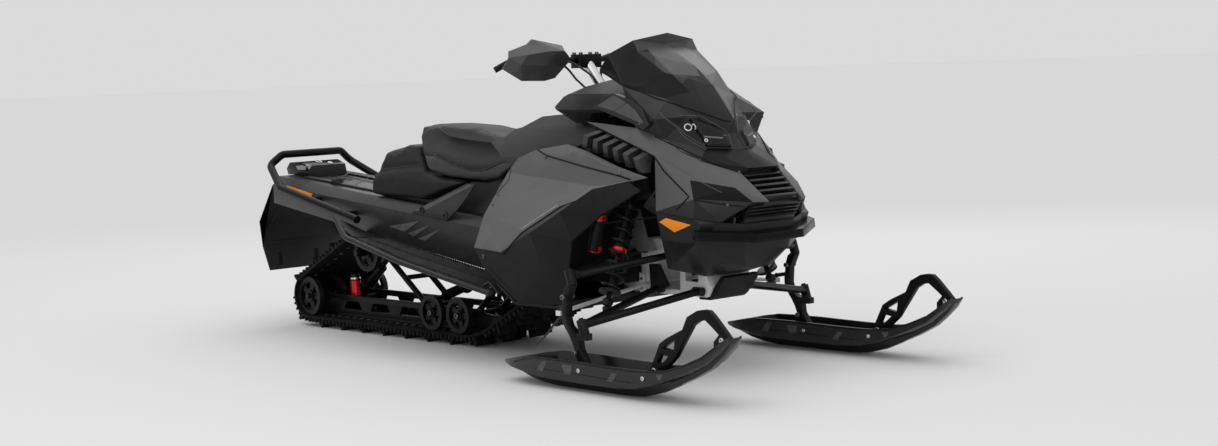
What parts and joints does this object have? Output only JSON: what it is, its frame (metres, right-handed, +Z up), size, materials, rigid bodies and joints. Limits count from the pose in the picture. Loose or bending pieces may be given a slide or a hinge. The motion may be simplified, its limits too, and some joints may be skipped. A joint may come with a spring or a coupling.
{
  "type": "snowmobile",
  "caption": "Single-seat snowmobile with steered skis, a lugged track loop, faceted windshield, hand guards and a rear storage bag.",
  "frame": {"origin": "on the snow under the middle of the whole length, on the centre plane", "axes": "+X forward to the ski tips, +Y to the rider's left, +Z up"},
  "size_m": [3.162, 1.234, 1.161],
  "materials": {
    "track_rubber": "moulded rubber, dull",
    "rail_alloy": "dark anodised",
    "shoe_plastic": "low-friction plastic",
    "wheel_plastic": "moulded, satin",
    "frame_black": "satin powder coat",
    "shock_steel": "bright plated",
    "tunnel_black": "fine satin black",
    "trim_black": "moulded, fine grain",
    "lamp_red": "dark red lens",
    "seat_vinyl": "grained vinyl, soft sheen",
    "bag_fabric": "coated weave",
    "body_charcoal": "satin charcoal",
    "body_black": "gloss black",
    "lamp_clear": "clear lens",
    "screen_smoke": "smoked, glossy",
    "guard_smoke": "smoked, glossy",
    "reflector_amber": "amber lens",
    "engine_alloy": "cast",
    "silver_alloy": "satin",
    "spring_black": "gloss black",
    "grip_rubber": "ribbed rubber",
    "cable_black": "smooth cable sleeve, soft sheen"
  },
  "bodies": {
    "chassis": {"track": "track_rubber", "slide_rails": "rail_alloy", "rail_shoes": "shoe_plastic", "rear_axle_wheels": "wheel_plastic", "idler_wheels": "wheel_plastic", "drive_axle": "wheel_plastic", "track_suspension": "frame_black", "track_shocks": "shock_steel", "tunnel": "tunnel_black", "footboards": "tunnel_black", "snow_flap": "trim_black", "rear_bumper": "frame_black", "tail_lamp": "lamp_red", "deck_rack": "trim_black", "under_seat": "trim_black", "side_braces": "frame_black", "seat": "seat_vinyl", "storage_bag": "bag_fabric", "tank_cover": "body_charcoal", "console": "trim_black", "hood": "body_charcoal", "nose_pan": "body_black", "grilles": "trim_black", "front_bumper": "body_black", "headlamps": "lamp_clear", "windshield": "screen_smoke", "side_panels": "body_charcoal", "belly_panels": "body_black", "side_vents": "trim_black", "reflectors": "reflector_amber", "engine_block": "engine_alloy", "front_frame": "silver_alloy", "chin_skid": "trim_black", "upper_frame": "frame_black", "lower_arms": "frame_black", "upper_arms": "frame_black", "front_shocks": "shock_steel", "front_springs": "spring_black"},
    "steering": {"handlebar": "frame_black", "grips": "grip_rubber", "steering_riser": "frame_black", "handguards": "guard_smoke", "control_cables": "cable_black"},
    "ski_left_unit": {"spindle_left": "frame_black", "ski_left": "body_black", "ski_handle_left": "trim_black"},
    "ski_right_unit": {"spindle_right": "frame_black", "ski_right": "body_black", "ski_handle_right": "trim_black"},
    "tie_rod_link": {"tie_rods": "silver_alloy"}
  },
  "joints": [
    {"name": "steering", "type": "hinge", "parent": "chassis", "child": "steering", "pos_m": [0.35, 0, 1.075], "axis": [-0.6402, 0, 0.7682], "range_deg": [-35, 35]},
    {"name": "ski_left_pivot", "type": "hinge", "parent": "chassis", "child": "ski_left_unit", "pos_m": [0.891, 0.545, 0.21], "axis": [-0.3003, 0, 0.9538], "range_deg": [-28, 28]},
    {"name": "ski_right_pivot", "type": "hinge", "parent": "chassis", "child": "ski_right_unit", "pos_m": [0.891, -0.545, 0.21], "axis": [-0.3003, 0, 0.9538], "range_deg": [-28, 28]},
    {"name": "tie_rod_slide", "type": "slide", "parent": "chassis", "child": "tie_rod_link", "axis": [0, 1, 0], "range_m": [-0.0498, 0.0498]}
  ],
  "couplings": [
    {"joint": "ski_left_pivot", "follows": "steering", "ratio": 0.8},
    {"joint": "ski_right_pivot", "follows": "steering", "ratio": 0.8},
    {"joint": "tie_rod_slide", "follows": "steering", "m_per_rad": -0.0815}
  ]
}
